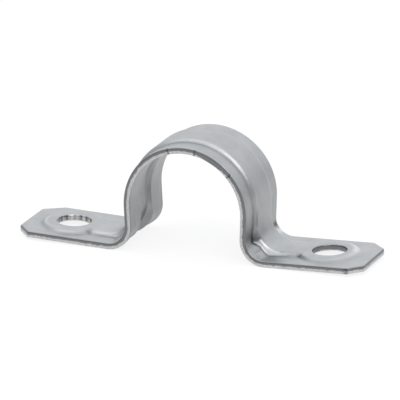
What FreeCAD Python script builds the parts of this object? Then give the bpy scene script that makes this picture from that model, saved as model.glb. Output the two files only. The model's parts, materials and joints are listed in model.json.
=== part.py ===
"""Two-hole conduit strap, stamped and folded from one strip of zinc-plated steel.

The strip runs from one foot, up a leg, over the saddle that holds the conduit, down the other leg
and out along the second foot. A rib is pressed outward along its middle. It leaves a groove on the
conduit side, turns each bend at a wider radius than the strip does, so that it braces the bend as a
gusset, and ends in a raised seat round the screw hole.

Frame, in millimetres: X along the strap, Y along the conduit, Z up, with the origin midway between
the heels on the surface that they stand on. One half is modelled, at +X, and then mirrored.
"""

import FreeCAD, Part
import Sketcher
import math
import os

# Driving dimensions: name, value (millimetres or degrees), meaning.
SIZES = [
    ("strip_width", 17.0, "width of the strip, along the conduit"),
    ("sheet_thickness", 1.25, "thickness of the sheet"),
    ("conduit_diameter", 23.4, "outside diameter of the conduit"),
    ("conduit_clearance", 0.05, "gap between conduit and saddle, all round"),
    ("axis_height", 9.75, "conduit axis above the heels"),
    ("leg_pinch", 2.5, "angle by which each leg leans in under the conduit"),
    ("bend_inside_radius", 3.7, "inside radius of the bend from leg to foot"),
    ("toe_up", 1.9, "angle by which each foot rises towards its tip"),
    ("overall_length", 73.4, "from tip to tip"),
    ("corner_clip", 3.0, "corner cut off each foot, at 45 degrees"),
    ("tip_to_hole", 9.4, "from tip to centre of the screw hole, along X"),
    ("hole_diameter", 6.8, "screw hole"),
    ("press_height", 0.65, "height of rib and seat above the strip"),
    ("rib_wall_angle", 45.0, "slope of the walls of rib and groove"),
    ("seat_wall_angle", 50.0, "slope of the walls of seat and dimple"),
    ("press_shoulder", 0.5, "rounding at the top of those walls"),
    ("rib_base_width", 8.8, "rib, where it leaves the strip"),
    ("groove_mouth_width", 5.8, "groove under the rib, at the conduit side"),
    ("gusset_radius", 5.0, "radius of the rib's crest at the bend"),
    ("seat_base_diameter", 13.1, "raised seat, where it leaves the strip"),
    ("dimple_mouth_diameter", 10.1, "dimple under the seat"),
    ("edge_roll", 0.2, "rounding that the punch leaves along the border of the outer side"),
    ("root_cover", 0.1, "sheet left under the hidden root of rib and seat"),
    ("tool_overshoot", 1.0, "how far a cut runs past the sheet"),
]

BORE = "(sizes.conduit_diameter / 2 + sizes.conduit_clearance)"
HEEL = "(sizes.bend_inside_radius + sizes.sheet_thickness)"
HOLE_X = "(sizes.overall_length / 2 - sizes.tip_to_hole)"
Y_AXIS, ORIGIN = -2, (-1, 1)
START, END, CENTRE = 1, 2, 3
NEAR = 0.001
# The strip's side sketch draws its outer line as pieces 4 to 7, after the line on the conduit side.
OUTER_LINE = range(4, 8)


def make_sheet(doc):
    """The spreadsheet of driving dimensions, and the same values for first placing the geometry."""
    sheet = doc.addObject("Spreadsheet::Sheet", "sizes")
    for row, (alias, value, meaning) in enumerate(SIZES, start=1):
        sheet.set(f"A{row}", alias)
        sheet.set(f"B{row}", str(value))
        sheet.setAlias(f"B{row}", alias)
        sheet.set(f"C{row}", meaning)
    doc.recompute()
    return {alias: float(sheet.get(alias)) for alias, _, _ in SIZES}


def origin_plane(body, role):
    return next(item for item in body.Origin.OriginFeatures if item.Role == role)


def new_sketch(body, name, role):
    sketch = body.newObject("Sketcher::SketchObject", name)
    sketch.AttachmentSupport = [(origin_plane(body, role), "")]
    sketch.MapMode = "FlatFace"
    return sketch


def line(sketch, start, end):
    segment = Part.LineSegment(FreeCAD.Vector(*start, 0), FreeCAD.Vector(*end, 0))
    return sketch.addGeometry(segment, False)


def arc(sketch, centre, radius, first, last):
    circle = Part.Circle(FreeCAD.Vector(*centre, 0), FreeCAD.Vector(0, 0, 1), radius)
    return sketch.addGeometry(Part.ArcOfCircle(circle, first, last), False)


def fix(sketch, kind, *where):
    """A geometric constraint, or one with a plain value at the end."""
    return sketch.addConstraint(Sketcher.Constraint(kind, *where))


def evaluate(sketch, formula):
    """The number that a formula of the spreadsheet's cells has now."""
    found = sketch.evalExpression(formula)
    return float(getattr(found, "Value", found))


def bind(sketch, name, formula, kind, *where):
    """A dimension that is bound to a formula of the spreadsheet's cells."""
    value = evaluate(sketch, formula)
    index = fix(sketch, kind, *where, math.radians(value) if kind == "Angle" else value)
    sketch.renameConstraint(index, name)
    sketch.setExpression(f"Constraints.{name}", formula)
    return index


def check_sketch(sketch):
    if sketch.solve() != 0 or not sketch.FullyConstrained:
        raise RuntimeError(f"sketch {sketch.Name} isn't solved and fully constrained")


# --- The side of the strap, at +X -----------------------------------------------------------------


def folded_points(size, offset, radius):
    """Places on the folded line that lies offset outside the conduit side, with this bend radius."""
    pinch, toe = math.radians(size["leg_pinch"]), math.radians(size["toe_up"])
    bore = size["conduit_diameter"] / 2 + size["conduit_clearance"]
    heel = size["bend_inside_radius"] + size["sheet_thickness"]
    crown = (0.0, size["axis_height"])
    leg_normal = (math.cos(pinch), -math.sin(pinch))
    foot_normal = (-math.sin(toe), math.cos(toe))
    heel_x = (bore + heel + math.sin(pinch) * (heel - crown[1])) / math.cos(pinch)
    foot_level = foot_normal[0] * heel_x + foot_normal[1] * heel - heel + offset
    # the centre of the bend lies one radius outside the leg and one above the foot
    leg_side = bore + offset + radius + leg_normal[1] * crown[1]
    foot_side = foot_level + radius
    span = leg_normal[0] * foot_normal[1] - leg_normal[1] * foot_normal[0]
    bend = (
        (leg_side * foot_normal[1] - foot_side * leg_normal[1]) / span,
        (leg_normal[0] * foot_side - foot_normal[0] * leg_side) / span,
    )
    arc_end = tuple(crown[i] + (bore + offset) * leg_normal[i] for i in (0, 1))
    leg_end = tuple(bend[i] - radius * leg_normal[i] for i in (0, 1))
    foot_start = tuple(bend[i] - radius * foot_normal[i] for i in (0, 1))
    return {
        "crown": crown,
        "crown_radius": bore + offset,
        "arc_end": arc_end,
        "leg_end": leg_end,
        "bend": bend,
        "heel": (heel_x, heel),
        "foot_start": foot_start,
        "foot_level": foot_level,
        "pinch": pinch,
        "toe": toe,
    }


def folded_line(sketch, size, tag, offset, offset_formula, radius, radius_formula, end_x):
    """Saddle, leg, bend and foot as one tangent chain. Returns the ids of its four pieces."""
    at = folded_points(size, offset, radius)
    foot_end = (end_x, (at["foot_level"] + end_x * math.sin(at["toe"])) / math.cos(at["toe"]))
    saddle = arc(sketch, at["crown"], at["crown_radius"], -at["pinch"], math.pi / 2)
    leg = line(sketch, at["leg_end"], at["arc_end"])
    bend = arc(sketch, at["bend"], radius, math.pi - at["pinch"], 1.5 * math.pi + at["toe"])
    foot = line(sketch, at["foot_start"], foot_end)
    fix(sketch, "PointOnObject", saddle, CENTRE, Y_AXIS)
    fix(sketch, "PointOnObject", saddle, END, Y_AXIS)
    fix(sketch, "Tangent", saddle, START, leg, END)
    fix(sketch, "Tangent", leg, START, bend, START)
    fix(sketch, "Tangent", bend, END, foot, START)
    bind(sketch, f"{tag}_axis", "sizes.axis_height", "DistanceY", *ORIGIN, saddle, CENTRE)
    bind(sketch, f"{tag}_saddle", f"{BORE} + {offset_formula}", "Radius", saddle)
    bind(sketch, f"{tag}_leg", "90 - sizes.leg_pinch", "Angle", leg)
    bind(sketch, f"{tag}_bend", radius_formula, "Radius", bend)
    bind(sketch, f"{tag}_foot", "sizes.toe_up", "Angle", foot)
    return saddle, leg, bend, foot


def strip_half(body, size):
    """Half of the plain folded strip."""
    sketch = new_sketch(body, "strip_side", "XZ_Plane")
    thickness, radius = size["sheet_thickness"], size["bend_inside_radius"]
    tip_x = size["overall_length"] / 2
    lower = folded_line(sketch, size, "lower", 0.0, "0", radius + thickness, HEEL, tip_x)
    upper = folded_line(
        sketch, size, "upper", thickness, "sizes.sheet_thickness", radius,
        "sizes.bend_inside_radius", tip_x,
    )
    for tag, pieces in (("lower", lower), ("upper", upper)):
        bind(sketch, f"{tag}_heel", HEEL, "DistanceY", *ORIGIN, pieces[2], CENTRE)
    geometry = sketch.Geometry
    crown = line(
        sketch, (0, geometry[lower[0]].EndPoint.y), (0, geometry[upper[0]].EndPoint.y)
    )
    fix(sketch, "Coincident", crown, START, lower[0], END)
    fix(sketch, "Coincident", crown, END, upper[0], END)
    tip_low = geometry[lower[3]].EndPoint
    toe = math.radians(size["toe_up"])
    tip_high = (tip_low.x - thickness * math.sin(toe), tip_low.y + thickness * math.cos(toe))
    tip = line(sketch, (tip_low.x, tip_low.y), tip_high)
    fix(sketch, "Coincident", tip, START, lower[3], END)
    fix(sketch, "Coincident", tip, END, upper[3], END)
    fix(sketch, "Perpendicular", tip, lower[3])
    bind(sketch, "half_length", "sizes.overall_length / 2", "DistanceX", *ORIGIN, lower[3], END)
    # the middle of the screw hole on the underside of the foot, which later sketches stand on
    hole_x = tip_x - size["tip_to_hole"]
    hole = sketch.addGeometry(Part.Point(FreeCAD.Vector(hole_x, 0.2, 0)), True)
    fix(sketch, "PointOnObject", hole, START, lower[3])
    bind(sketch, "hole_x", HOLE_X, "DistanceX", *ORIGIN, hole, START)
    height = fix(sketch, "DistanceY", *ORIGIN, hole, START, 0.2)
    sketch.setDriving(height, False)
    sketch.renameConstraint(height, "hole_height")
    check_sketch(sketch)

    pad = body.newObject("PartDesign::Pad", "strip")
    pad.Profile = sketch
    pad.SideType = "Symmetric"
    pad.setExpression("Length", "sizes.strip_width")
    return pad


# --- The pressed rib and the groove under it ------------------------------------------------------


def press_path(body, size, name, offset, offset_formula, radius, radius_formula):
    """The line that the crest of the rib or the floor of the groove follows, to the screw hole."""
    sketch = new_sketch(body, name, "XZ_Plane")
    hole_x = size["overall_length"] / 2 - size["tip_to_hole"]
    _, leg, _, foot = folded_line(
        sketch, size, "path", offset, offset_formula, radius, radius_formula, hole_x
    )
    bind(sketch, "path_end", HOLE_X, "DistanceX", *ORIGIN, foot, END)
    # the bend of the strip itself, offset as the path is, sets how high the foot lies
    centre = FreeCAD.Vector(*folded_points(size, offset, radius)["heel"], 0)
    heel_radius = size["bend_inside_radius"] + size["sheet_thickness"] - offset
    heel = sketch.addGeometry(Part.Circle(centre, FreeCAD.Vector(0, 0, 1), heel_radius), True)
    fix(sketch, "Tangent", heel, leg)
    fix(sketch, "Tangent", heel, foot)
    bind(sketch, "heel_height", HEEL, "DistanceY", *ORIGIN, heel, CENTRE)
    bind(sketch, "heel_radius", f"{HEEL} - {offset_formula}", "Radius", heel)
    check_sketch(sketch)
    return sketch


def press_section(body, size, name, top_formula, level_formula, width_formula, root_formula):
    """The channel's cross-section at the crown: flat top, rounded shoulders and sloping walls."""
    sketch = new_sketch(body, name, "YZ_Plane")
    top, level, root = (evaluate(sketch, f) for f in (top_formula, level_formula, root_formula))
    width, slope = evaluate(sketch, width_formula), math.radians(size["rib_wall_angle"])
    shoulder = size["press_shoulder"]
    corner = width / 2 - (top - level) / math.tan(slope)
    flat = corner - shoulder * math.tan(slope / 2)
    wall_top = (flat + shoulder * math.sin(slope), top - shoulder * (1 - math.cos(slope)))
    foot_half = width / 2 + (level - root) / math.tan(slope)
    crest = line(sketch, (-flat, top), (flat, top))
    right = arc(sketch, (flat, top - shoulder), shoulder, math.pi / 2 - slope, math.pi / 2)
    left = arc(sketch, (-flat, top - shoulder), shoulder, math.pi / 2, math.pi / 2 + slope)
    right_wall = line(sketch, (foot_half, root), wall_top)
    left_wall = line(sketch, (-foot_half, root), (-wall_top[0], wall_top[1]))
    base = line(sketch, (-foot_half, root), (foot_half, root))
    fix(sketch, "Horizontal", crest)
    fix(sketch, "Horizontal", base)
    fix(sketch, "Tangent", crest, END, right, END)
    fix(sketch, "Tangent", crest, START, left, START)
    fix(sketch, "Tangent", right, START, right_wall, END)
    fix(sketch, "Tangent", left, END, left_wall, END)
    fix(sketch, "Coincident", right_wall, START, base, END)
    fix(sketch, "Coincident", left_wall, START, base, START)
    fix(sketch, "Equal", left, right)
    marks = []
    for wall, side in ((left_wall, -1), (right_wall, 1)):
        place = FreeCAD.Vector(side * width / 2, level, 0)
        mark = sketch.addGeometry(Part.Point(place), True)
        fix(sketch, "PointOnObject", mark, START, wall)
        marks.append(mark)
    fix(sketch, "Symmetric", marks[0], START, marks[1], START, Y_AXIS)
    bind(sketch, "width", width_formula, "DistanceX", marks[0], START, marks[1], START)
    bind(sketch, "level", level_formula, "DistanceY", *ORIGIN, marks[1], START)
    bind(sketch, "top", top_formula, "DistanceY", *ORIGIN, crest, START)
    bind(sketch, "root", root_formula, "DistanceY", *ORIGIN, base, START)
    bind(sketch, "shoulder", "sizes.press_shoulder", "Radius", right)
    bind(sketch, "right_slope", "180 - sizes.rib_wall_angle", "Angle", right_wall)
    bind(sketch, "left_slope", "sizes.rib_wall_angle", "Angle", left_wall)
    check_sketch(sketch)
    return sketch


def sweep(body, kind, name, section, path):
    pipe = body.newObject(kind, name)
    pipe.Profile = section
    pipe.Spine = path
    return pipe


def rib(body, size):
    outside = "(sizes.sheet_thickness + sizes.press_height)"
    path = press_path(
        body, size, "rib_path", size["sheet_thickness"] + size["press_height"], outside,
        size["gusset_radius"], "sizes.gusset_radius",
    )
    section = press_section(
        body, size, "rib_section",
        f"sizes.axis_height + {BORE} + {outside}",
        f"sizes.axis_height + {BORE} + sizes.sheet_thickness",
        "sizes.rib_base_width",
        f"sizes.axis_height + {BORE} + sizes.root_cover",
    )
    return sweep(body, "PartDesign::AdditivePipe", "rib", section, path)


def groove(body, size):
    path = press_path(
        body, size, "groove_path", size["press_height"], "sizes.press_height",
        size["gusset_radius"] + size["sheet_thickness"],
        "sizes.gusset_radius + sizes.sheet_thickness",
    )
    section = press_section(
        body, size, "groove_section",
        f"sizes.axis_height + {BORE} + sizes.press_height",
        f"sizes.axis_height + {BORE}",
        "sizes.groove_mouth_width",
        f"sizes.axis_height + {BORE} - sizes.sheet_thickness - sizes.tool_overshoot",
    )
    return sweep(body, "PartDesign::SubtractivePipe", "groove", section, path)


# --- The raised seat round the screw hole ---------------------------------------------------------


def stand_on_foot(sketch, axis, sign):
    """Moves a sketch to the screw hole, on the underside of the foot, and tilts it as the foot is."""
    sketch.AttachmentOffset = FreeCAD.Placement(
        FreeCAD.Vector(), FreeCAD.Rotation(FreeCAD.Vector(*axis), 1.0)
    )
    height = "y" if axis[2] else "z"
    sketch.setExpression("AttachmentOffset.Base.x", HOLE_X)
    sketch.setExpression(f"AttachmentOffset.Base.{height}", "strip_side.Constraints.hole_height")
    sketch.setExpression("AttachmentOffset.Rotation.Angle", f"{sign}sizes.toe_up")


def round_press(body, size, kind, name, top_formula, level_formula, radius_formula, root_formula):
    """A round, flat-topped press with a rounded shoulder and sloping wall, turned about the hole."""
    sketch = new_sketch(body, f"{name}_section", "XZ_Plane")
    stand_on_foot(sketch, (0, 0, 1), "")
    top, level, root = (evaluate(sketch, f) for f in (top_formula, level_formula, root_formula))
    radius, slope = evaluate(sketch, radius_formula), math.radians(size["seat_wall_angle"])
    shoulder = size["press_shoulder"]
    flat = radius - (top - level) / math.tan(slope) - shoulder * math.tan(slope / 2)
    wall_top = (flat + shoulder * math.sin(slope), top - shoulder * (1 - math.cos(slope)))
    foot_half = radius + (level - root) / math.tan(slope)
    axis = line(sketch, (0, root), (0, top))
    crest = line(sketch, (0, top), (flat, top))
    round_ = arc(sketch, (flat, top - shoulder), shoulder, math.pi / 2 - slope, math.pi / 2)
    wall = line(sketch, (foot_half, root), wall_top)
    base = line(sketch, (0, root), (foot_half, root))
    mark = sketch.addGeometry(Part.Point(FreeCAD.Vector(radius, level, 0)), True)
    fix(sketch, "PointOnObject", axis, START, Y_AXIS)
    fix(sketch, "PointOnObject", axis, END, Y_AXIS)
    fix(sketch, "Coincident", axis, END, crest, START)
    fix(sketch, "Coincident", axis, START, base, START)
    fix(sketch, "Coincident", wall, START, base, END)
    fix(sketch, "Horizontal", crest)
    fix(sketch, "Horizontal", base)
    fix(sketch, "Tangent", crest, END, round_, END)
    fix(sketch, "Tangent", round_, START, wall, END)
    fix(sketch, "PointOnObject", mark, START, wall)
    bind(sketch, "radius", radius_formula, "DistanceX", *ORIGIN, mark, START)
    bind(sketch, "level", level_formula, "DistanceY", *ORIGIN, mark, START)
    bind(sketch, "top", top_formula, "DistanceY", *ORIGIN, crest, END)
    bind(sketch, "root", root_formula, "DistanceY", *ORIGIN, base, END)
    bind(sketch, "shoulder", "sizes.press_shoulder", "Radius", round_)
    bind(sketch, "slope", "180 - sizes.seat_wall_angle", "Angle", wall)
    check_sketch(sketch)

    turned = body.newObject(kind, name)
    turned.Profile = sketch
    turned.ReferenceAxis = (sketch, ["V_Axis"])
    turned.Angle = 360
    return turned


def seat(body, size):
    return round_press(
        body, size, "PartDesign::Revolution", "seat",
        "sizes.sheet_thickness + sizes.press_height",
        "sizes.sheet_thickness",
        "sizes.seat_base_diameter / 2",
        "sizes.root_cover",
    )


def dimple(body, size):
    return round_press(
        body, size, "PartDesign::Groove", "dimple",
        "sizes.press_height",
        "0",
        "sizes.dimple_mouth_diameter / 2",
        "-sizes.tool_overshoot",
    )


def cut_through(body, name, sketch):
    pocket = body.newObject("PartDesign::Pocket", name)
    pocket.Profile = sketch
    pocket.SideType = "Symmetric"
    pocket.setExpression(
        "Length", "2 * (sizes.sheet_thickness + sizes.press_height + sizes.tool_overshoot)"
    )
    return pocket


def screw_hole(body, size):
    sketch = new_sketch(body, "hole_outline", "XY_Plane")
    stand_on_foot(sketch, (0, 1, 0), "-")
    circle = Part.Circle(
        FreeCAD.Vector(), FreeCAD.Vector(0, 0, 1), size["hole_diameter"] / 2
    )
    rim = sketch.addGeometry(circle, False)
    fix(sketch, "Coincident", rim, CENTRE, *ORIGIN)
    bind(sketch, "diameter", "sizes.hole_diameter", "Diameter", rim)
    check_sketch(sketch)
    return cut_through(body, "screw_hole", sketch)


# --- The tip of the foot --------------------------------------------------------------------------


def corner_clips(body, size):
    """Two right-angled triangles whose long sides cut the corners of the tip at 45 degrees."""
    sketch = new_sketch(body, "clip_outline", "XY_Plane")
    stand_on_foot(sketch, (0, 1, 0), "-")
    tip = "(sizes.tip_to_hole / cos(sizes.toe_up * 1deg))"
    tip_x = evaluate(sketch, tip)
    over, half = size["tool_overshoot"], size["strip_width"] / 2
    leg = size["corner_clip"] + 2 * over
    for side, tag in ((-1, "near"), (1, "far")):
        corner = (tip_x + over, side * (half + over))
        along = line(sketch, corner, (corner[0] - leg, corner[1]))
        slant = line(sketch, (corner[0] - leg, corner[1]), (corner[0], corner[1] - side * leg))
        across = line(sketch, (corner[0], corner[1] - side * leg), corner)
        fix(sketch, "Coincident", along, END, slant, START)
        fix(sketch, "Coincident", slant, END, across, START)
        fix(sketch, "Coincident", across, END, along, START)
        fix(sketch, "Horizontal", along)
        fix(sketch, "Vertical", across)
        fix(sketch, "Equal", along, across)
        bind(sketch, f"{tag}_reach", f"{tip} + sizes.tool_overshoot", "DistanceX",
             *ORIGIN, along, START)
        sign = "-" if side < 0 else ""
        bind(sketch, f"{tag}_side", f"{sign}(sizes.strip_width / 2 + sizes.tool_overshoot)",
             "DistanceY", *ORIGIN, along, START)
        bind(sketch, f"{tag}_leg", "sizes.corner_clip + 2 * sizes.tool_overshoot",
             "DistanceX", along, END, along, START)
    check_sketch(sketch)
    return cut_through(body, "corner_clips", sketch)


# --- The whole strap ------------------------------------------------------------------------------


def rolled_edges(body, base, size):
    """Rounds the border of the outer side, where the blanking punch drew the metal in."""
    side = body.Document.getObject("strip_side")
    outer_line = Part.Compound([side.Geometry[number].toShape() for number in OUTER_LINE])
    outer_line.Placement = side.Placement
    half_width, half_length = size["strip_width"] / 2, size["overall_length"] / 2
    names = []
    for number, edge in enumerate(base.Shape.Edges, start=1):
        middle = edge.valueAt((edge.FirstParameter + edge.LastParameter) / 2)
        from_tip, from_side = half_length - abs(middle.x), half_width - abs(middle.y)
        from_clip = from_tip + from_side - size["corner_clip"]
        beside_middle = Part.Vertex(abs(middle.x), 0, middle.z)
        on_outer_side = beside_middle.distToShape(outer_line)[0] < NEAR
        if on_outer_side and min(from_tip, from_side, from_clip) < size["edge_roll"]:
            names.append(f"Edge{number}")
    roll = body.newObject("PartDesign::Fillet", "edge_roll")
    roll.Base = (base, names)
    roll.setExpression("Radius", "sizes.edge_roll")
    body.Tip = roll
    return roll


def mirror_half(body):
    mirrored = body.newObject("PartDesign::Mirrored", "both_halves")
    mirrored.TransformMode = "Whole shape"
    mirrored.MirrorPlane = (origin_plane(body, "YZ_Plane"), [""])
    body.Tip = mirrored
    return mirrored


def volume_step(doc, feature, before, grows):
    """Recomputes, and stops if a feature failed or left the volume as it was."""
    doc.recompute()
    volume = feature.Shape.Volume
    print(f"{feature.Name}: {volume:.1f} mm3")
    if before is not None and not (volume > before if grows else volume < before):
        raise RuntimeError(f"{feature.Name} changed nothing")
    return volume


def conduit_strap(doc, size):
    body = doc.addObject("PartDesign::Body", "conduit_strap")
    body.Label = "conduit_strap"
    half = strip_half(body, size)
    volume = volume_step(doc, half, None, True)
    steps = (
        (rib, True), (seat, True), (groove, False), (dimple, False), (screw_hole, False),
        (corner_clips, False),
    )
    for make, grows in steps:
        half = make(body, size)
        volume = volume_step(doc, half, volume, grows)
    whole = mirror_half(body)
    volume = volume_step(doc, whole, volume, True)
    volume_step(doc, rolled_edges(body, whole, size), volume, False)
    return body


def main():
    doc = FreeCAD.newDocument("conduit_strap")
    size = make_sheet(doc)
    body = conduit_strap(doc, size)
    doc.recompute()
    failed = [item.Name for item in doc.Objects if {"Invalid", "Error"} & set(item.State)]
    if failed:
        raise RuntimeError(f"these failed: {failed}")
    shape = body.Shape
    if shape.isNull() or not shape.isValid() or len(shape.Solids) != 1:
        raise RuntimeError(f"{body.Label} isn't one valid solid")
    os.makedirs("parts", exist_ok=True)
    shape.exportStep(f"parts/{body.Label}.step")
    box = shape.optimalBoundingBox(False, False)
    print(f"box {box.XLength:.2f} x {box.YLength:.2f} x {box.ZLength:.2f} mm, from z {box.ZMin:.3f}")
    print(f"{len(shape.Faces)} faces, {shape.Volume:.1f} mm3")


main()
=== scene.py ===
# %% [markdown]
# # A stamped conduit strap
#
# A conduit strap is one strip of zinc-plated steel. A press blanks it out of sheet, pierces two
# screw holes, presses a rib along its middle and a raised seat round each hole, and then folds it
# over the saddle that holds the conduit. This lesson makes it in the same order: a flat blank as a
# plain mesh, then one Geometry Nodes tree that presses and folds it, then the zinc.

# %% The frame
import bpy
import json
import math
from mathutils import Matrix, Vector
from mathutils.geometry import delaunay_2d_cdt


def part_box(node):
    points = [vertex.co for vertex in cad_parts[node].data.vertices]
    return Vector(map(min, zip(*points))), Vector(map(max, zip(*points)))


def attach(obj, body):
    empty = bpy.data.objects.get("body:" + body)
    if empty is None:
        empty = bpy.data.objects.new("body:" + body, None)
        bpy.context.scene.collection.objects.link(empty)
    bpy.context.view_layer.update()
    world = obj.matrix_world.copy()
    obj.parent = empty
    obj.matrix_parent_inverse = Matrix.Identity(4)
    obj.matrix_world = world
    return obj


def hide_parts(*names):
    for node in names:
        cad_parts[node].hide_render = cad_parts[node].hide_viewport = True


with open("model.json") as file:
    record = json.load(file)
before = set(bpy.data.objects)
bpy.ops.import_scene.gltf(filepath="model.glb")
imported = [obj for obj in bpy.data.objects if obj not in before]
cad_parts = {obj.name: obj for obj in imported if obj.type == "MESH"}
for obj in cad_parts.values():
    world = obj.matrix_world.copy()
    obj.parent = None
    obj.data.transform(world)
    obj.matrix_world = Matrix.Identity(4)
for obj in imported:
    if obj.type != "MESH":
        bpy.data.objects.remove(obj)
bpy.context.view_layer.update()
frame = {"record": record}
record = frame["record"]

# %% [markdown]
# ## Sizes
#
# The frame already holds the sizes that matter: the box of the strap, the saddle's radius and height,
# and the place, radius and tilt of each screw hole. Only what the frame doesn't say is written here.
# Everything is in metres, so a millimetre gets a name.

# %% Sizes from the frame
MM = 0.001
mounts = {mount["name"]: mount for mount in record["mounts"]}
low_corner, high_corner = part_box("conduit_strap")
length, width = high_corner.x - low_corner.x, high_corner.y - low_corner.y
saddle_radius = mounts["conduit"]["dims"]["r_mm"] * MM
axis_height = mounts["conduit"]["pos_m"][2]
hole_radius = mounts["screw_hole_right"]["dims"]["r_mm"] * MM
thickness = mounts["screw_hole_right"]["dims"]["length_mm"] * MM
toe_up = math.asin(-mounts["screw_hole_right"]["axis"][0])
hole_middle = Vector(mounts["screw_hole_right"]["pos_m"])
press_height = 0.65 * MM
hole_x = hole_middle.x + math.sin(toe_up) * (press_height + thickness / 2)
print(f"strip {width / MM:.2f} x {thickness / MM:.2f} mm, feet rise {math.degrees(toe_up):.2f} degrees")

# %% [markdown]
# ## The press tool
#
# These sizes belong to the tool. A base is where a shape leaves the sheet, and a corner is where its
# wall reaches the top: half widths for the rib and groove, radii for the seat and the dimple under
# it. The seat's wall is less steep towards the tip of the strap. The border of the outer side is
# drawn in and down by the punch, and the conduit side has the rounding of a small burr. The folding
# tool adds the lean of the legs and the radius inside each bend.

# %% Sizes of the press tool
leg_pinch = math.radians(2.5)
bend_inside_radius = 3.7 * MM
heel_radius = bend_inside_radius + thickness
gusset_radius = 5.0 * MM
rib_corner, groove_corner = 3.75 * MM, 2.25 * MM
seat_base, dimple_base = 6.65 * MM, 5.15 * MM
rib_base, groove_base = 4.4 * MM, 2.9 * MM
seat_slope, seat_tip_slope = math.tan(math.radians(42)), math.tan(math.radians(24))
edge_roll, edge_drop = 0.24 * MM, 0.34 * MM
burr_radius = 0.06 * MM

# %% [markdown]
# ## The length of the flat strip
#
# A folder works from the flat length of a part. Here the conduit side of the sheet keeps its length
# in every fold, so a place on the flat strip is a distance walked along that side, from the crown.

# %% Flat lengths
saddle_angle = math.pi / 2 + leg_pinch
heel_angle = saddle_angle + toe_up
lean_drop = (saddle_radius + heel_radius) * math.sin(leg_pinch)
leg = (axis_height - heel_radius - lean_drop) / math.cos(leg_pinch)
heel_x = saddle_radius + heel_radius + math.sin(leg_pinch) * (heel_radius - axis_height)
foot_x = heel_x / math.cos(leg_pinch) + heel_radius * math.sin(toe_up)
heel_start = saddle_radius * saddle_angle + leg
heel_end = heel_start + heel_radius * heel_angle
tip = heel_end + (length / 2 - foot_x) / math.cos(toe_up)
hole_along = heel_end + (hole_x - foot_x) / math.cos(toe_up)
print(f"flat strip {2 * tip / MM:.2f} mm, holes at {hole_along / MM:.2f} from the middle")

# %% [markdown]
# ## The blank's outline
#
# The blank is a long rectangle with a piece cut off each corner. The cropping punches are set by
# hand, so no two corners of a real strap are quite alike. Each corner is given by how far its cut
# runs along the strip and how far across.
#
# The outline is asked for several times, a little smaller each time: those loops round the outer
# edge, where the punch draws the metal in before it shears. Every loop has the same count of points,
# so neighbours can be joined by plain quads.

# %% The outline
CORNER_CUTS = {
    (1, 1): (3.1 * MM, 3.1 * MM),
    (-1, 1): (4.0 * MM, 2.9 * MM),
    (-1, -1): (2.9 * MM, 3.2 * MM),
    (1, -1): (2.7 * MM, 2.6 * MM),
}
CORNER_ROUND, SMALLEST_ROUND = 0.35 * MM, 0.05 * MM
CORNER_STEPS = 5


def edge_lines():
    """The straight edges of the blank, anticlockwise, each as a point and its outward normal."""
    lines = []
    for along, across in ((1, 1), (-1, 1), (-1, -1), (1, -1)):
        cut_along, cut_across = CORNER_CUTS[along, across]
        slant = Vector((along * cut_across, across * cut_along)).normalized()
        on_slant = Vector((along * (tip - cut_along), across * width / 2))
        end = (Vector((along * tip, 0)), Vector((along, 0)))
        side = (Vector((0, across * width / 2)), Vector((0, across)))
        first, last = (end, side) if along == across else (side, end)
        lines += [first, (on_slant, slant), last] if not lines else [(on_slant, slant), last]
    return lines[:-1]


def meeting(first, second, inset):
    """Where two edge lines meet, once both are moved inward."""
    (p, n), (q, m) = first, second
    a, b = p.dot(n) - inset, q.dot(m) - inset
    cross = n.x * m.y - n.y * m.x
    return Vector(((a * m.y - b * n.y) / cross, (n.x * b - m.x * a) / cross))


edges = edge_lines()
edge_starts = [meeting(edges[i - 1], edges[i], 0).x / MM for i in range(len(edges))]
print(len(edges), "straight edges, that start at", [f"{start:.1f}" for start in edge_starts])

# %% [markdown]
# ## Where the mesh is fine
#
# A folded and pressed sheet is smooth almost everywhere, and needs small faces only at the walls of
# the rib, in the two heels and round the seats. The grid of the blank follows that: rows lie close
# together where the rib's shoulders will be, and columns where the heels will be.
#
# The near edge also has four small nicks. The usual columns are kept away from each, and the first
# three get close-set columns of their own, so that a nick has points to move. The fourth is at
# a rounded corner, where the outline has enough points already.

# %% Grid lines
NICKS = (-3.3 * MM, 2.1 * MM, 10.0 * MM, tip - 2.75 * MM)
CORNER_NICKS = 1
NICK_HALF_WIDTH, NICK_CLEARANCE = 0.27 * MM, 0.7 * MM
NICK_STEPS, NICK_STEP_MM = 5, 0.1


def spread(stops, steps):
    """Places from the first stop to the last, with a step of its own between each pair of stops."""
    places = [stops[0]]
    for start, end, step in zip(stops, stops[1:], steps):
        count = max(1, round((end - start) / step))
        places += [start + (end - start) * i / count for i in range(1, count + 1)]
    return places


half_columns = spread(
    (0, heel_start - 1 * MM, heel_end + 3 * MM, tip), (0.45 * MM, 0.26 * MM, 0.4 * MM)
)
columns = {-place for place in half_columns} | set(half_columns)
columns = {place for place in columns if all(abs(place - nick) > NICK_CLEARANCE for nick in NICKS)}
for nick in NICKS[:-CORNER_NICKS]:
    columns |= {nick + step * NICK_STEP_MM * MM for step in range(-NICK_STEPS, NICK_STEPS + 1)}
columns = sorted(columns)
half_rows = spread((0, 1.7 * MM, 5.6 * MM, width / 2), (0.42 * MM, 0.15 * MM, 0.4 * MM))
rows = sorted({-place for place in half_rows} | set(half_rows))
print(len(columns), "columns and", len(rows), "rows")

# %% Loops
END_MARGIN, EDGE_STEP = 0.2 * MM, 0.3 * MM
LEAST_APART = 0.5e-6


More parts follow.
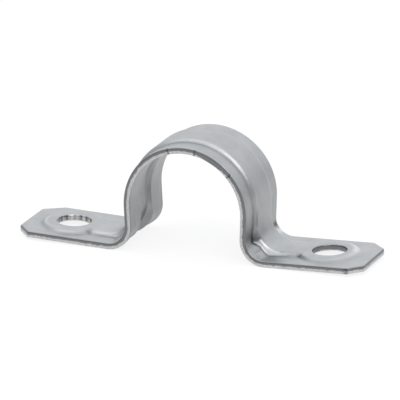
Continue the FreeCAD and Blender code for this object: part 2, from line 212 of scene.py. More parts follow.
def edge_places(start, end, normal):
    """Places along one straight edge, as shares: the columns on a long side, even steps elsewhere."""
    if abs(normal.y) > 0.99:
        low, high = min(start.x, end.x) + END_MARGIN, max(start.x, end.x) - END_MARGIN
        inner = [x for x in columns if low < x < high]
        inner = inner if end.x > start.x else inner[::-1]
        return [(x - start.x) / (end.x - start.x) for x in inner]
    count = round((end - start).length / EDGE_STEP)
    return [i / count for i in range(1, count)]


def outline_loop(inset):
    """The outline of the blank, moved inward, with small round corners. Anticlockwise."""
    points = []
    number = len(edges)
    rounding = max(CORNER_ROUND - inset, SMALLEST_ROUND)
    corners = [meeting(edges[i - 1], edges[i], inset) for i in range(number)]
    full = [meeting(edges[i - 1], edges[i], 0) for i in range(number)]
    for i in range(number):
        normal, before, after = edges[i][1], edges[i - 1][1], edges[(i + 1) % number][1]
        start_turn = math.acos(before.dot(normal))
        end_turn = math.acos(normal.dot(after))
        run = (corners[(i + 1) % number] - corners[i]).normalized()
        start = corners[i] + run * rounding * math.tan(start_turn / 2)
        end = corners[(i + 1) % number] - run * rounding * math.tan(end_turn / 2)
        centre = start - normal * rounding
        for step in range(CORNER_STEPS + 1):
            turn = start_turn * (1 - step / CORNER_STEPS)
            direction = Matrix.Rotation(-turn, 2) @ normal
            points.append(centre + direction * rounding)
        inner = edge_places(full[i], full[(i + 1) % number], normal)
        points += [start.lerp(end, share) for share in inner]
        points.append(end)
    return [point for k, point in enumerate(points) if (point - points[k - 1]).length > LEAST_APART]


HOLE_SEGMENTS = 168


def ring(side, radius):
    """A circle round a screw hole, anticlockwise. side is 1 for the hole at +X and -1 for the other."""
    turns = [2 * math.pi * i / HOLE_SEGMENTS for i in range(HOLE_SEGMENTS)]
    centre = Vector((side * hole_along, 0))
    return [centre + Vector((math.cos(turn), math.sin(turn))) * radius for turn in turns]


print("the outline has", len(outline_loop(0)), "points, and", len(outline_loop(edge_roll)), "once moved in")

# %% [markdown]
# ## The sheared edge
#
# A punch does three things as it goes through sheet. It draws the surface in, which leaves a rounded
# rim; it cuts a smooth, upright band; and then the rest tears, which leaves a dull, rough band and
# a small burr. The blank's wall is a stack of loops that follows this profile. The same profile goes
# round both screw holes, because the same tool pierces them.

# %% The wall's profile
BURR_STEPS, WALL_STEPS, ROLL_STEPS = 3, 8, 7


def wall_profile():
    """Inset, height and share of cut metal of each loop, from the conduit side to the outer side."""
    profile = []
    for step in range(BURR_STEPS):
        turn = math.pi / 2 * step / BURR_STEPS
        sine, cosine = math.sin(turn), math.cos(turn)
        profile.append((burr_radius * (1 - sine), burr_radius * (1 - cosine), sine))
    wall_top = thickness - edge_drop
    for step in range(WALL_STEPS):
        profile.append((0.0, burr_radius + (wall_top - burr_radius) * step / WALL_STEPS, 1.0))
    for step in range(ROLL_STEPS + 1):
        turn = math.pi / 2 * step / ROLL_STEPS
        sine, cosine = math.sin(turn), math.cos(turn)
        profile.append((edge_roll * (1 - cosine), wall_top + edge_drop * sine, cosine))
    return profile


profile = wall_profile()
print(len(profile), "loops through the thickness")

# %% [markdown]
# ## The blank
#
# The two sides of the blank are filled by a constrained Delaunay triangulation. It takes the grid
# points that lie inside the outline, rings of points round each screw hole, and the loops at the
# rims, and joins them all with no gap and no overlap. Each point also keeps its flat place in an
# attribute called flat, so that later steps and the material can still ask where on the strip it is.

# %% Points and faces
points, faces, cut_share, inward = [], [], [], []
RING_REACH = 7.3 * MM
RING_RADII = spread(
    (hole_radius + 0.45 * MM, seat_base - 1.1 * MM, seat_base + 0.2 * MM, RING_REACH),
    (0.4 * MM, 0.13 * MM, 0.25 * MM),
)


def add_points(places, height, cut, directions=None):
    """Adds points at one height of the sheet and returns their numbers."""
    first = len(points)
    for number, place in enumerate(places):
        points.append(Vector((place.x, place.y, height)))
        cut_share.append(cut)
        inward.append(directions[number] if directions else Vector((0, 0)))
    return list(range(first, len(points)))


def add_wall(loop_at, faces_outward):
    """The sheared wall along one loop. Returns its first and last rows, at the sheet's two sides."""
    outer, inner = loop_at(0), loop_at(edge_roll)
    directions = [(b - a).normalized() for a, b in zip(outer, inner)]
    numbers = [add_points(loop_at(inset), height, cut, directions) for inset, height, cut in profile]
    for below, above in zip(numbers, numbers[1:]):
        for k in range(len(below)):
            quad = (below[k - 1], below[k], above[k], above[k - 1])
            faces.append(quad if faces_outward else quad[::-1])
    return numbers[0], numbers[-1]


walls = [add_wall(outline_loop, True)]
for side in (-1, 1):
    walls.append(add_wall(lambda inset, side=side: ring(side, hole_radius + inset), False))
print(len(points), "points and", len(faces), "faces in the walls")

# %% [markdown]
# ## The two sides
#
# The triangulation fills everything inside the points' convex hull, so some triangles have to go.
# Those with all corners on the rim of one screw hole lie across the hole. Others lie along a straight
# edge of the blank, where rounding leaves slivers of no real height between the rim's points. The
# true triangles at the rounded corners are thin as well, under a thousandth of a millimetre high, so
# a sliver is anything lower than a tenth of that.

# %% Fill the two sides
GRID_MARGIN = 0.12 * MM
SLIVER_MM = 1e-4
SCREW_HOLE_RIMS = ({1}, {2})


def inside_blank(place, inset):
    return all((place - on_edge).dot(normal) < -inset for on_edge, normal in edges)


def from_hole(place):
    return math.hypot(abs(place.x) - hole_along, place.y)


def add_side(rims, height, inset, outer_side):
    """Fills one side of the sheet, up to the given rims."""
    grid = [Vector((x, y)) for x in columns for y in rows]
    grid = [place for place in grid if inside_blank(place, inset + GRID_MARGIN)]
    grid = [place for place in grid if from_hole(place) > RING_REACH + GRID_MARGIN]
    for radius in RING_RADII:
        grid += ring(-1, radius) + ring(1, radius)
    inner = add_points(grid, height, 0.0)
    numbers = [number for rim in rims for number in rim] + inner
    borders, start = [], 0
    for rim in rims:
        borders += [(start + k, start + (k + 1) % len(rim)) for k in range(len(rim))]
        start += len(rim)
    flat = [points[number].xy / MM for number in numbers]
    whole_hull, merge_distance, keep_origins = 0, 1e-7, True
    found = delaunay_2d_cdt(flat, borders, [], whole_hull, merge_distance, keep_origins)
    made_places, triangles, origins = found[0], found[2], found[3]
    if len(made_places) != len(flat):
        raise RuntimeError("the triangulation merged or added points")
    owners = [rim_number for rim_number, rim in enumerate(rims) for _ in rim] + [None] * len(inner)
    count = 0
    for triangle in triangles:
        picked = [origins[k][0] for k in triangle]
        a, b, c = (flat[k] for k in picked)
        in_screw_hole = {owners[k] for k in picked} in SCREW_HOLE_RIMS
        longest = max((b - a).length, (c - b).length, (a - c).length)
        if in_screw_hole or abs((b - a).cross(c - a)) < SLIVER_MM * longest:
            continue
        corners = [numbers[k] for k in picked]
        faces.append(tuple(corners if outer_side else corners[::-1]))
        count += 1
    print(f"side at {height / MM:.2f} mm: {len(flat)} points, {count} triangles")


add_side([wall[0] for wall in walls], 0.0, profile[0][0], False)
add_side([wall[1] for wall in walls], thickness, profile[-1][0], True)

# %% The blank's mesh
blank_mesh = bpy.data.meshes.new("flat_blank")
blank_mesh.from_pydata(points, [], faces)
for name, kind, values, field in (
    ("flat", "FLOAT_VECTOR", [value for point in points for value in point], "vector"),
    ("inward", "FLOAT_VECTOR", [value for way in inward for value in (way.x, way.y, 0.0)], "vector"),
    ("cut", "FLOAT", cut_share, "value"),
):
    blank_mesh.attributes.new(name, kind, "POINT").data.foreach_set(field, values)
blank_mesh.validate(verbose=True)
strap = bpy.data.objects.new("stamped_strap", blank_mesh)
bpy.context.scene.collection.objects.link(strap)
print("blank:", len(blank_mesh.vertices), "points,", len(blank_mesh.polygons), "faces")

# %% [markdown]
# ## Arithmetic for node trees
#
# Pressing and folding are formulas, and a formula written as Math nodes one by one is hard to read.
# This small class stands for one output of a node. Adding or multiplying two of them adds the node
# that does it, so the steps that follow can be written as they would be on paper.

# %% Fields
class Field:
    """A number or vector that varies over the mesh: one output of a node in a tree."""

    def __init__(self, tree, socket):
        self.tree, self.socket = tree, socket

    def node(self, kind, *values, **settings):
        """Adds a node, sets it up, and feeds its inputs in order with fields or plain values."""
        made = self.tree.nodes.new(kind)
        for name, value in settings.items():
            setattr(made, name, value)
        for socket, value in zip(made.inputs, values):
            feed(self.tree, socket, value)
        return made

    def math(self, operation, *others):
        return Field(self.tree, self.node("ShaderNodeMath", self, *others, operation=operation).outputs[0])

    def __add__(self, other):
        return self.math("ADD", other)

    def __sub__(self, other):
        return self.math("SUBTRACT", other)

    def __mul__(self, other):
        return self.math("MULTIPLY", other)

    def __truediv__(self, other):
        return self.math("DIVIDE", other)

    def between(self, low, high):
        return self.math("MAXIMUM", low).math("MINIMUM", high)

    def ramp(self, low, high):
        """0 up to low, 1 from high on, and a straight rise between them."""
        return (self - low).between(0.0, high - low) / (high - low)

    def blend_min(self, other, distance):
        return self.math("SMOOTH_MIN", other, distance)

    def blend_max(self, other, distance):
        return self.math("SMOOTH_MAX", other, distance)


def feed(tree, socket, value):
    """Links a field to a socket, or sets the socket to a plain value."""
    if isinstance(value, Field):
        tree.links.new(value.socket, socket)
    elif value is not None:
        socket.default_value = value


# %% [markdown]
# ## The tree: inputs
#
# The press tool and the folding tool are one Geometry Nodes tree, so each size is an input with a
# name and can be changed on the modifier. The tree reads each point's flat place, works out how far
# the press moves it outward there, and then where the folds carry it.

# %% Tree and inputs
TREE_INPUTS = {
    "Thickness": thickness,
    "Axis Height": axis_height,
    "Saddle Radius": saddle_radius,
    "Saddle Angle": saddle_angle,
    "Heel Start": heel_start,
    "Heel Radius": heel_radius,
    "Heel Angle": heel_angle,
    "Hole Distance": hole_along,
    "Press Height": press_height,
    "Gusset Radius": gusset_radius,
    "Gusset Spread": 0.4,
    "Bulge": 0.65 * MM,
    "Rib Corner": rib_corner,
    "Groove Corner": groove_corner,
    "Rib Base": rib_base,
    "Groove Base": groove_base,
    "Seat Base": seat_base,
    "Dimple Base": dimple_base,
    "Seat Slope": seat_slope,
    "Seat Tip Slope": seat_tip_slope,
    "Shoulder Rounding": 0.42 * MM,
    "Root Rounding": 0.22 * MM,
    "Seat Rounding": 0.9 * MM,
    "Dent Depth": 0.32 * MM,
    "Pucker Height": 0.09 * MM,
    "Pucker Spacing": 2.9 * MM,
    "Waviness": 0.02 * MM,
    "Tear Depth": 0.035 * MM,
    "Nick Depth": 0.16 * MM,
    "Seed": 7.0,
}

tree = bpy.data.node_groups.new("press_and_fold", "GeometryNodeTree")
tree.interface.new_socket("Geometry", in_out="INPUT", socket_type="NodeSocketGeometry")
tree.interface.new_socket("Geometry", in_out="OUTPUT", socket_type="NodeSocketGeometry")
for name in TREE_INPUTS:
    tree.interface.new_socket(name, in_out="INPUT", socket_type="NodeSocketFloat")
tree.interface.new_socket("Finish", in_out="INPUT", socket_type="NodeSocketMaterial")
entry = tree.nodes.new("NodeGroupInput")
size = {name: Field(tree, entry.outputs[name]) for name in TREE_INPUTS}


def named(name, kind):
    """A named attribute of the blank, as a field."""
    node = tree.nodes.new("GeometryNodeInputNamedAttribute")
    node.data_type = kind
    node.inputs["Name"].default_value = name
    return Field(tree, node.outputs["Attribute"])


def parts_of(vector):
    """The three components of a vector field."""
    split = vector.node("ShaderNodeSeparateXYZ", vector)
    return [Field(tree, socket) for socket in split.outputs]


def noise(place, scale, detail, seed):
    """Smooth noise between about 0 and 1 at a place given in metres. scale is in blobs a millimetre."""
    node = place.node("ShaderNodeTexNoise", place, seed, noise_dimensions="4D")
    node.inputs["Scale"].default_value = scale / MM
    node.inputs["Detail"].default_value = detail
    return Field(place.tree, node.outputs[0])


flat_place = named("flat", "FLOAT_VECTOR")
along, across, depth = parts_of(flat_place)
in_along, in_across, _ = parts_of(named("inward", "FLOAT_VECTOR"))
cut = named("cut", "FLOAT")
print(len(TREE_INPUTS), "named sizes")

# %% [markdown]
# ## The tree: the press
#
# The rib, seen from its end, is a trapezoid: a flat top, two sloping walls, and nothing beyond. The
# seat is the same trapezoid turned about the screw hole. Both come from one idea. A slope rises
# without end towards the middle of the shape, is cut off at the top by the press height, and at
# zero by the sheet. Smooth minimum and maximum do the cutting, and their distance is the rounding.
#
# In the heels the rib doesn't follow the strip: it cuts the corner on a wider circle, and stands
# higher above the sheet the further the strip bends away. That is what makes it a gusset. Its foot
# spreads there too, and a low bulge stands beside it.
#
# The seat's wall is less steep towards the tip of the strap, and its edges are rounder than the rib's.
# Both effects are stronger on the foot at +X than on the other.

# %% Height of the rib
def root(value):
    return value.math("SQRT")


along_half = along.math("ABSOLUTE")
half_turn = size["Heel Angle"] * 0.5
inside_radius = size["Heel Radius"] - size["Thickness"]
shift = size["Gusset Radius"] + size["Press Height"] - inside_radius
reach = shift * half_turn.math("TANGENT")
centre_shift = shift / half_turn.math("COSINE")
from_heel = along_half - (size["Heel Start"] + size["Heel Radius"] * half_turn)
from_middle = from_heel.math("ABSOLUTE")
turn = (from_middle / size["Heel Radius"]).math("MINIMUM", half_turn)
square = size["Gusset Radius"] * size["Gusset Radius"]
sideways = centre_shift * turn.math("SINE")
in_bend = inside_radius - (root(square - sideways * sideways) - centre_shift * turn.math("COSINE"))
past = reach - (from_middle - size["Heel Radius"] * half_turn).between(0.0, reach)
crest = size["Gusset Radius"] + size["Press Height"]
on_straight = crest - root(square - past * past)
at_joint = crest - root(square - reach * reach)
rib_top = in_bend + on_straight - at_joint

# %% Press depth on each side
across_half = across.math("ABSOLUTE")
hole_offset = along_half - size["Hole Distance"]
hole_distance = root(hole_offset * hole_offset + across * across)
past_hole = hole_offset.math("GREATER_THAN", 0.0)
near_seat = ((hole_offset + size["Seat Base"]) / (1.5 * MM) + 1.0).between(0.0, 1.0)
tipward = (hole_offset / hole_distance.math("MAXIMUM", 0.1 * MM)).between(0.0, 1.0)
tipward = tipward * (along.math("SIGN") * 0.3 + 0.7)
seat_rounding = size["Seat Rounding"] * (along.math("SIGN") * 0.25 + 0.75)
seat_slope_here = size["Seat Slope"] + (size["Seat Tip Slope"] - size["Seat Slope"]) * tipward


def bell(value, middle, spread_out):
    """1 at the middle and fading to 0 over about twice the spread on either side."""
    away = (value - middle) / spread_out
    return (away * away * -1.0).math("EXPONENT")


bulge = bell(from_heel, 0.3 * MM, 2.2 * MM) * bell(across_half, 4.7 * MM, 1.4 * MM) * size["Bulge"]


def pressed(rib_edge, rib_foot, seat_foot):
    """How far the press moves one side of the sheet, and the slope before it is cut off.

    Beyond the screw hole past_hole takes a whole metre off the rib's slope, so no rib is left there.
    """
    foot_here = rib_foot + (rib_top - size["Press Height"]) * size["Gusset Spread"]
    rib_rise = rib_top * (foot_here - across_half) / (foot_here - rib_edge) - past_hole
    seat_rise = (seat_foot - hole_distance) * seat_slope_here
    rise = rib_rise.blend_max(seat_rise, size["Root Rounding"])
    top_rounding = size["Shoulder Rounding"] + (seat_rounding - size["Shoulder Rounding"]) * near_seat
    root_rounding = size["Root Rounding"] + (seat_rounding - size["Root Rounding"]) * near_seat
    height = rise.blend_min(rib_top, top_rounding).blend_max(bulge, root_rounding)
    return height, rise


outer_press, outer_rise = pressed(size["Rib Corner"], size["Rib Base"], size["Seat Base"])
inner_press, _ = pressed(size["Groove Corner"], size["Groove Base"], size["Dimple Base"])
share = depth / size["Thickness"]
press = inner_press + (outer_press - inner_press) * share

# %% [markdown]
# ## The tree: puckers, dents and painted light
#
# Beside the gusset the sheet has nowhere to go when the heel is folded. It is squeezed against the
# foot of the gusset and puckers into a few low ridges. They are sine waves along the strip, faded
# out by a bell curve along it and another across it, and made uneven by noise.
#
# The tool also leaves dents: at the start of each heel, one on the near side of the rib and a shallow
# one at the far border, and then one where the rib runs into the seat. Two measures go on to the
# material, and both are painted light: painted shade in and near the dents, beside the rib and on it
# at the start of each heel, and a painted highlight on the squeezed metal at the far border and on
# the pucker ridges.

# %% Puckers, dents and painted light
DENT_FROM_START, BESIDE_RIB = 1.9 * MM, -4.7 * MM
JOINT_FROM_HOLE, JOINT_ACROSS = -5.0 * MM, -4.1 * MM
FAR_BORDER_MM = 5.2
uneven = noise(flat_place, 0.5, 0.0, size["Seed"] + 9.0)
ridges = ((from_heel / size["Pucker Spacing"] + uneven * 0.8) * (2 * math.pi)).math("SINE")
where = bell(from_heel, 0.6 * MM, 2.6 * MM) * bell(across_half, 5.9 * MM, 1.2 * MM)
pucker = ridges * where * size["Pucker Height"]
from_start = along_half - size["Heel Start"]
far_side = (across / MM - FAR_BORDER_MM).between(0.0, 1.0)
near_side = bell(across, BESIDE_RIB, 0.8 * MM)
dent = bell(from_start, DENT_FROM_START, 0.8 * MM) * (far_side * 0.3 + near_side)
joint = bell(hole_offset, JOINT_FROM_HOLE, 0.55 * MM) * bell(across, JOINT_ACROSS, 0.5 * MM)
dents = (dent + joint * 0.35) * size["Dent Depth"]
# Painted shade: in the dents, beside the rib and on the rib at the start of each heel.
in_dents = bell(from_start, DENT_FROM_START, 0.75 * MM) * far_side * 0.9 + joint * 0.7
beside_rib = bell(from_start, 1.2 * MM, 1.6 * MM) * bell(across, -4.5 * MM, 0.8 * MM) * 0.8
on_rib = bell(from_start, 0.6 * MM, 3.0 * MM) * bell(across, -2.5 * MM, 3.0 * MM) * 0.22
painted_shade = in_dents + beside_rib + on_rib
# Painted highlight: a band at the far border past the dent, and the crests of the pucker ridges.
pinched_highlight = bell(from_start, 4.0 * MM, 0.9 * MM) * far_side + ridges.between(0.0, 1.0) * where * 0.2

# %% [markdown]
# ## The tree: waviness and torn edges
#
# No pressed sheet is perfectly flat, and it is the slow waves in it that break up reflections. The
# waves only ever go inward, so the strap stays inside its real outline. The torn half of the sheared
# wall gets a rougher, deeper noise along the wall's own inward direction. The nicks are V-shaped cuts
# in the same direction, on the near side only.

# %% Waviness
waves = noise(flat_place, 0.11, 1.0, size["Seed"]).between(0.0, 1.0)
shrink = size["Waviness"] * waves
height = depth + press + (pucker - dents) * share + shrink * (share * -2.0 + 1.0)
torn = cut * (share * -1.0).ramp(-0.62, -0.42)
tear = size["Tear Depth"] * torn * noise(flat_place, 1.6, 2.0, size["Seed"] + 3.0)
edge_wave = size["Waviness"] * noise(flat_place, 0.25, 0.0, size["Seed"] + 5.0)
nicked = along * 0.0
for nick in NICKS:
    nicked = nicked.math("MAXIMUM", (along - nick).math("ABSOLUTE") / -NICK_HALF_WIDTH + 1.0)
nicked = nicked * across.math("LESS_THAN", 0.0) * cut
inset_by = tear + edge_wave * cut + nicked * size["Nick Depth"]
strip_place = (along + in_along * inset_by).math("ABSOLUTE")
side_place = across + in_across * inset_by

# %% [markdown]
# ## The tree: the folds
#
# A fold takes everything past its start and rolls it round a circle. A point at some height above
# the conduit side lies nearer to the centre of an upward fold and further from the centre of
# a downward one, which is why the rounded corners come out right on both faces of the sheet. The
# strip is folded from the outside in: first the heel, then the saddle, which carries the folded
# foot round with it. Both halves are alike, so the tree folds the distance from the middle and puts
# its sign back at the end.

# %% Folds
def fold(x, z, start, radius, angle, upward):
    """Where a point at x along and z above the strip goes, when the strip is rolled past start."""
    turned = ((x - start) / radius).between(0.0, angle)
    past_fold = x - start - radius * turned
    arm = radius - z * upward
    sine, cosine = turned.math("SINE"), turned.math("COSINE")
    new_x = arm * sine + past_fold * cosine + start
    new_z = (radius - arm * cosine + past_fold * sine) * upward
    return new_x, new_z


x, z = fold(strip_place, height, size["Heel Start"], size["Heel Radius"], size["Heel Angle"], 1.0)
x, z = fold(x, z, 0.0, size["Saddle Radius"], size["Saddle Angle"], -1.0)
z = z + size["Axis Height"] + size["Saddle Radius"]
x = x * along.math("SIGN")

# %% The end of the tree
place = x.node("ShaderNodeCombineXYZ", x, side_place, z)
set_place = tree.nodes.new("GeometryNodeSetPosition")
tree.links.new(entry.outputs["Geometry"], set_place.inputs["Geometry"])
tree.links.new(place.outputs[0], set_place.inputs["Position"])


def store(geometry, name, value):
    """Keeps a field as a named attribute that the material can read."""
    node = tree.nodes.new("GeometryNodeStoreNamedAttribute")
    node.inputs["Name"].default_value = name
    tree.links.new(geometry, node.inputs["Geometry"])
    tree.links.new(value.socket, node.inputs["Value"])
    return node.outputs["Geometry"]


# Stored for the material: wear on the shoulders with a painted highlight, which also carries the painted
# pucker highlight; the nicks; painted shade at the dents and heels; and painted shade along the roots of
# the rib's walls near the heels.
on_outer = (share - 0.5).math("GREATER_THAN", 0.0)
shoulder = ((outer_rise - rib_top).math("ABSOLUTE") / (0.45 * MM) * -1.0 + 1.0).between(0.0, 1.0)
# Painted shade: the root of the rib's walls, where the outer rise is near zero, faded out away from the
# heels.
groove_line = (outer_rise.math("ABSOLUTE") / (0.4 * MM) * -1.0 + 1.0).between(0.0, 1.0)
kept = store(set_place.outputs["Geometry"], "shoulder", (shoulder + pinched_highlight).between(0.0, 1.4) * on_outer)
kept = store(kept, "nick", nicked)
kept = store(kept, "painted_shade", painted_shade * on_outer)
kept = store(kept, "root_line", groove_line * on_outer * bell(from_heel, 0.0, 3.0 * MM))
smooth = tree.nodes.new("GeometryNodeSetShadeSmooth")
realize = tree.nodes.new("GeometryNodeRealizeInstances")
finish = tree.nodes.new("GeometryNodeSetMaterial")
leave = tree.nodes.new("NodeGroupOutput")
tree.links.new(kept, smooth.inputs["Geometry"])
tree.links.new(smooth.outputs["Geometry"], realize.inputs["Geometry"])
tree.links.new(realize.outputs["Geometry"], finish.inputs["Geometry"])
tree.links.new(entry.outputs["Finish"], finish.inputs["Material"])
tree.links.new(finish.outputs["Geometry"], leave.inputs["Geometry"])
print("press_and_fold has", len(tree.nodes), "nodes")

# %% [markdown]
# ## Zinc on steel
#
# The finish is thin zinc plate on smooth sheet: a cool, satin metal with no sharp reflections. Up
# close it is faintly mottled, with fine lines along the strip from the rolling mill. The shoulders
# are paler and smoother, partly worn by the tool and partly a painted highlight, faint on the saddle's
# far side and strongest on the far side of the leg at +X; the puckers get a painted highlight too.
# Painted shade darkens the dents, the rib at the start of each heel and the roots of its walls there.
# The conduit side has painted shade towards the heels and along its border, with pale drag lines
# along it.
#
# The sheared walls are another surface: the cut band is dark and smooth, the torn band pale and
# grainy, and the line between them wanders. The cut band is widest on the saddle, a little to the +X
# side. The screw hole at -X has upright streaks instead of a plain cut band. All patterns read the
# flat place, so they follow the strip round its folds.

# %% The zinc
zinc = bpy.data.materials.new("zinc_plate")
zinc.use_nodes = True
shading = zinc.node_tree
shading.nodes.clear()
shader = shading.nodes.new("ShaderNodeBsdfPrincipled")
surface = shading.nodes.new("ShaderNodeOutputMaterial")
shading.links.new(shader.outputs["BSDF"], surface.inputs["Surface"])
shader.inputs["Metallic"].default_value = 1.0


def attribute(name, output):
    """One of the attributes that the tree left on the strap."""
    node = shading.nodes.new("ShaderNodeAttribute")
    node.attribute_name = name
    return Field(shading, node.outputs[output])


def mix(share, low, high):
    """A colour between two others. low and high are colours or fields."""
    node = shading.nodes.new("ShaderNodeMix")
    node.data_type = "RGBA"
    sockets = {socket.identifier: socket for socket in node.inputs}
    feed(shading, sockets["Factor_Float"], share)
    feed(shading, sockets["A_Color"], (*low, 1.0) if isinstance(low, tuple) else low)
    feed(shading, sockets["B_Color"], (*high, 1.0) if isinstance(high, tuple) else high)
    result = next(socket for socket in node.outputs if socket.identifier == "Result_Color")
    return Field(shading, result)


def stretched(vector, factors):
    node = vector.node("ShaderNodeVectorMath", vector, factors, operation="MULTIPLY")
    return Field(vector.tree, node.outputs[0])


flat_spot = attribute("flat", "Vector")
spot_split = flat_spot.node("ShaderNodeSeparateXYZ", flat_spot)
along_spot, across_spot, depth_spot = (Field(shading, socket) for socket in spot_split.outputs)
spot_depth = depth_spot / thickness
cut_metal = attribute("cut", "Fac")
rubbed_and_highlight = attribute("shoulder", "Fac")
in_root = attribute("root_line", "Fac")

# %% Colour
DARK_ZINC, PALE_ZINC, RUBBED_ZINC_AND_HIGHLIGHT = (0.3, 0.308, 0.316), (0.39, 0.397, 0.405), (0.6, 0.605, 0.61)
ROOT_SHADE, DULL_SHADE, PAINTED_SHADE_COLOUR = (0.16, 0.165, 0.17), (0.1, 0.103, 0.107), (0.06, 0.062, 0.066)
DRAG_LINE = (0.55, 0.555, 0.56)
CUT_STEEL, DARK_TEAR, PALE_TEAR = (0.19, 0.192, 0.198), (0.46, 0.46, 0.465), (0.72, 0.72, 0.72)
DARK_STREAK, PALE_STREAK, NICK_SHADE = (0.1, 0.102, 0.106), (0.55, 0.555, 0.56), (0.03, 0.03, 0.032)
mottle = noise(flat_spot, 0.35, 3.0, 1.0).ramp(0.3, 0.7)
grain = noise(flat_spot, 3.5, 2.0, 2.0)
rolling = noise(stretched(flat_spot, (0.06, 1.0, 1.0)), 2.2, 2.0, 4.0)
plate = mix(mottle * 0.6 + rolling * 0.4, DARK_ZINC, PALE_ZINC)
far_rib = (across_spot / MM).between(0.0, 1.0)
far_leg = far_rib * (along_spot / (5 * MM) - 1.5).between(0.0, 1.0)
# Paler shoulders: partly wear from the tool, partly a painted highlight, faint on the saddle's far side and
# strongest on the far side of the leg at +X.
plate = mix(rubbed_and_highlight * (far_leg * 0.7 - far_rib * 0.3 + 0.35), plate, RUBBED_ZINC_AND_HIGHLIGHT)
# Painted shade along the roots of the rib's walls near the heels.
plate = mix(in_root * 0.7, plate, ROOT_SHADE)
# Painted shade in and near the dents, beside the rib and on it at the start of each heel, made uneven by
# noise.
uneven_painted_shade = noise(flat_spot, 1.2, 2.0, 13.0) + 0.45
plate = mix((attribute("painted_shade", "Fac") * uneven_painted_shade).between(0.0, 0.85), plate, PAINTED_SHADE_COLOUR)
# Painted shade on the conduit side, growing towards the heels and along its border.
inner_side = (spot_depth * -1.0 + 0.5).math("GREATER_THAN", 0.0)
to_feet = (along_spot.math("ABSOLUTE") / heel_start).between(0.0, 1.0)
rim_shade = ((across_spot.math("ABSOLUTE") - width / 2) / (0.55 * MM) + 1.0).between(0.0, 1.0)
shade = inner_side * (to_feet * to_feet * 0.3 + rim_shade * 0.35)
plate = mix(shade.between(0.0, 0.8), plate, DULL_SHADE)
drag = noise(stretched(flat_spot, (0.15, 1.0, 1.0)), 0.9, 3.0, 17.0).ramp(0.52, 0.72)
plate = mix(inner_side * drag * 0.3, plate, DRAG_LINE)
hole_off = along_spot.math("ABSOLUTE") - hole_along
from_hole_squared = hole_off * hole_off + across_spot * across_spot
in_hole = from_hole_squared.math("LESS_THAN", (hole_radius + 0.5 * MM) ** 2)
wider_cut = bell(along_spot, 6.0 * MM, 3.6 * MM) * 0.45
band_edge = spot_depth + noise(flat_spot, 1.2, 3.0, 6.0) * 0.5 - 0.25 + in_hole * 0.3 + wider_cut
cut_band = band_edge.ramp(0.42, 0.52)
torn_grain = noise(flat_spot, 5.0, 3.0, 8.0).ramp(0.3, 0.7)
streaks = noise(stretched(flat_spot, (1.0, 1.0, 0.15)), 1.3, 1.0, 11.0).ramp(0.35, 0.65)
torn_colour = mix(torn_grain, DARK_TEAR, PALE_TEAR)
punched = mix(streaks, DARK_STREAK, PALE_STREAK)
sheared = mix(in_hole * along_spot.math("LESS_THAN", 0.0), CUT_STEEL, punched)
wall_colour = mix(cut_band, torn_colour, sheared)
# Painted shade in the nicks.
wall_colour = mix(attribute("nick", "Fac").between(0.0, 0.5), wall_colour, NICK_SHADE)
wall_share = cut_metal.ramp(0.35, 0.65)
shading.links.new(mix(wall_share, plate, wall_colour).socket, shader.inputs["Base Color"])

# %% Roughness and bump
roughness = grain * 0.1 + rolling * 0.06 + 0.3 - rubbed_and_highlight * 0.08
wall_roughness = (cut_band * -0.28) + 0.6
blended = roughness + (wall_roughness - roughness) * wall_share
shading.links.new(blended.socket, shader.inputs["Roughness"])
bump = shading.nodes.new("ShaderNodeBump")
bump.inputs["Distance"].default_value = 0.02 * MM
bump.inputs["Strength"].default_value = 0.6
feed(shading, bump.inputs["Height"], grain * 0.25 + torn_grain * wall_share * (cut_band * -1.0 + 1.0))
shading.links.new(bump.outputs["Normal"], shader.inputs["Normal"])
print("zinc_plate has", len(shading.nodes), "nodes")

# %% [markdown]
# ## Pressing and folding the blank
#
# The tree goes on the blank as a modifier. Its inputs are set by each socket's identifier, then the
# result is turned into a plain mesh and the modifier is taken off.

# %% Apply the tree
modifier = strap.modifiers.new("press_and_fold", "NODES")
modifier.node_group = tree
for socket in tree.interface.items_tree:
    if socket.in_out == "INPUT" and socket.name in TREE_INPUTS:
        modifier[socket.identifier] = TREE_INPUTS[socket.name]
    elif socket.name == "Finish":
        modifier[socket.identifier] = zinc
strap.update_tag()
graph = bpy.context.evaluated_depsgraph_get()
pressed_mesh = bpy.data.meshes.new_from_object(strap.evaluated_get(graph))
strap.modifiers.remove(modifier)
strap.data = pressed_mesh
pressed_mesh.name = "stamped_strap"
lowest = [min(v.co[i] for v in pressed_mesh.vertices) / MM for i in range(3)]
highest = [max(v.co[i] for v in pressed_mesh.vertices) / MM for i in range(3)]
print("strap from", [f"{v:.3f}" for v in lowest], "to", [f"{v:.3f}" for v in highest])

# %% Riding on the frame
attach(strap, "root")
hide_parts("conduit_strap")

# %% [markdown]
# ## Floor and light
#
# The strap stands on a plain pale floor in soft light. Metal shows its surroundings more than its
# own colour, so the surroundings are kept plain: a background that brightens upward and towards the
# back, a wide lamp high in front, a small strong one at the front right, and a wide dim one behind.
# The floor glows white for the camera and in reflections, with enough plain paper mixed in to take
# a shadow.

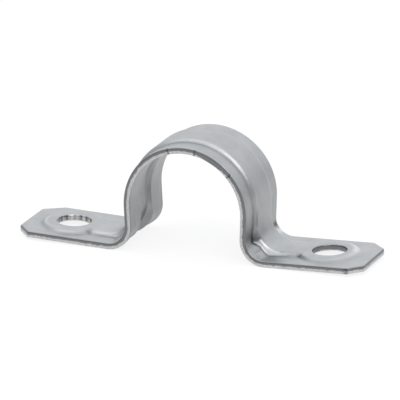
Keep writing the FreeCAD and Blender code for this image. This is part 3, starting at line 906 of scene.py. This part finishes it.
# %% Floor
FLOOR_REACH, FLOOR_LEVEL = 3.0, -0.02 * MM
floor_mesh = bpy.data.meshes.new("floor")
around = ((-1, -1), (1, -1), (1, 1), (-1, 1))
floor_corners = [(x * FLOOR_REACH, y * FLOOR_REACH, FLOOR_LEVEL) for x, y in around]
floor_mesh.from_pydata(floor_corners, [], [(0, 1, 2, 3)])
floor = bpy.data.objects.new("floor", floor_mesh)
bpy.context.scene.collection.objects.link(floor)
paper = bpy.data.materials.new("white_paper")
paper.use_nodes = True
paper_tree = paper.node_tree
paper_tree.nodes.clear()
rays = paper_tree.nodes.new("ShaderNodeLightPath")
matte = paper_tree.nodes.new("ShaderNodeBsdfDiffuse")
matte.inputs["Color"].default_value = (0.9, 0.9, 0.9, 1.0)
glow = paper_tree.nodes.new("ShaderNodeEmission")
glow.inputs["Strength"].default_value = 1.0
camera_ray = Field(paper_tree, rays.outputs["Is Camera Ray"])
glossy_ray = Field(paper_tree, rays.outputs["Is Glossy Ray"])
through_ray = Field(paper_tree, rays.outputs["Is Transmission Ray"])
seen = (camera_ray + glossy_ray + through_ray).between(0.0, 1.0) * 0.85
blend = paper_tree.nodes.new("ShaderNodeMixShader")
paper_out = paper_tree.nodes.new("ShaderNodeOutputMaterial")
feed(paper_tree, blend.inputs[0], seen)
paper_tree.links.new(matte.outputs[0], blend.inputs[1])
paper_tree.links.new(glow.outputs[0], blend.inputs[2])
paper_tree.links.new(blend.outputs[0], paper_out.inputs["Surface"])
floor_mesh.materials.append(paper)

# %% Lamps
def soft_lamp(name, azimuth, elevation, distance, sides, level):
    """A rectangular lamp aimed at the strap. Azimuth 0 is at -Y and 90 at +X.

    At level 1 its face is as bright as white.
    """
    a, e = math.radians(azimuth), math.radians(elevation)
    way = Vector((math.sin(a) * math.cos(e), -math.cos(a) * math.cos(e), math.sin(e)))
    data = bpy.data.lights.new(name, "AREA")
    data.shape = "RECTANGLE"
    data.size, data.size_y = sides
    data.energy = level * math.pi * sides[0] * sides[1]
    lamp = bpy.data.objects.new(name, data)
    lamp.location = way * distance
    lamp.rotation_mode = "QUATERNION"
    lamp.rotation_quaternion = way.to_track_quat("Z", "Y")
    lamp.visible_camera = False
    bpy.context.scene.collection.objects.link(lamp)
    return lamp


soft_lamp("top_lamp", -6, 60, 0.9, (2.1, 0.8), 0.8)
soft_lamp("side_lamp", 45, 38, 0.9, (0.5, 0.5), 2.2)
soft_lamp("back_lamp", 182, 20, 1.2, (1.7, 0.6), 0.36)

# %% Surroundings
world = bpy.data.worlds.new("studio")
bpy.context.scene.world = world
world.use_nodes = True
sky = world.node_tree
sky.nodes.clear()
background = sky.nodes.new("ShaderNodeBackground")
sky_out = sky.nodes.new("ShaderNodeOutputWorld")
sky.links.new(background.outputs[0], sky_out.inputs["Surface"])
direction = sky.nodes.new("ShaderNodeTexCoord")
upward = Field(sky, direction.outputs["Generated"])
background.inputs["Color"].default_value = (0.985, 1.0, 1.015, 1.0)
split = upward.node("ShaderNodeSeparateXYZ", upward)
behind, above = (Field(sky, split.outputs[i]) for i in (1, 2))
feed(sky, background.inputs["Strength"], (behind * 0.3 + above * 0.75 + 0.52).between(0.0, 1.35))

# %% [markdown]
# ## Camera
#
# A long lens from well away keeps both feet at nearly the same scale. The camera stands a little to
# the right of the conduit's axis and looks down on the strap by 18 degrees.

# %% Camera
azimuth, elevation, roll = math.radians(22.12), math.radians(17.99), math.radians(-0.67)
aim = Vector((-0.11, 0.0, 9.48)) * MM
distance = 1185 * MM
forward = Vector((
    -math.sin(azimuth) * math.cos(elevation), math.cos(azimuth) * math.cos(elevation), -math.sin(elevation)
))
right = Vector((math.cos(azimuth), math.sin(azimuth), 0.0))
up = right.cross(forward)
tilted_right = right * math.cos(roll) + up * math.sin(roll)
tilted_up = up * math.cos(roll) - right * math.sin(roll)
camera_data = bpy.data.cameras.new("camera")
camera_data.lens = 540
camera_data.clip_start, camera_data.clip_end = 0.05, 20
camera = bpy.data.objects.new("camera", camera_data)
turned_axes = Matrix((tilted_right, tilted_up, -forward)).transposed().to_4x4()
camera.matrix_world = Matrix.Translation(aim - forward * distance) @ turned_axes
bpy.context.scene.collection.objects.link(camera)
bpy.context.scene.camera = camera
bpy.context.scene.view_settings.view_transform = "Standard"
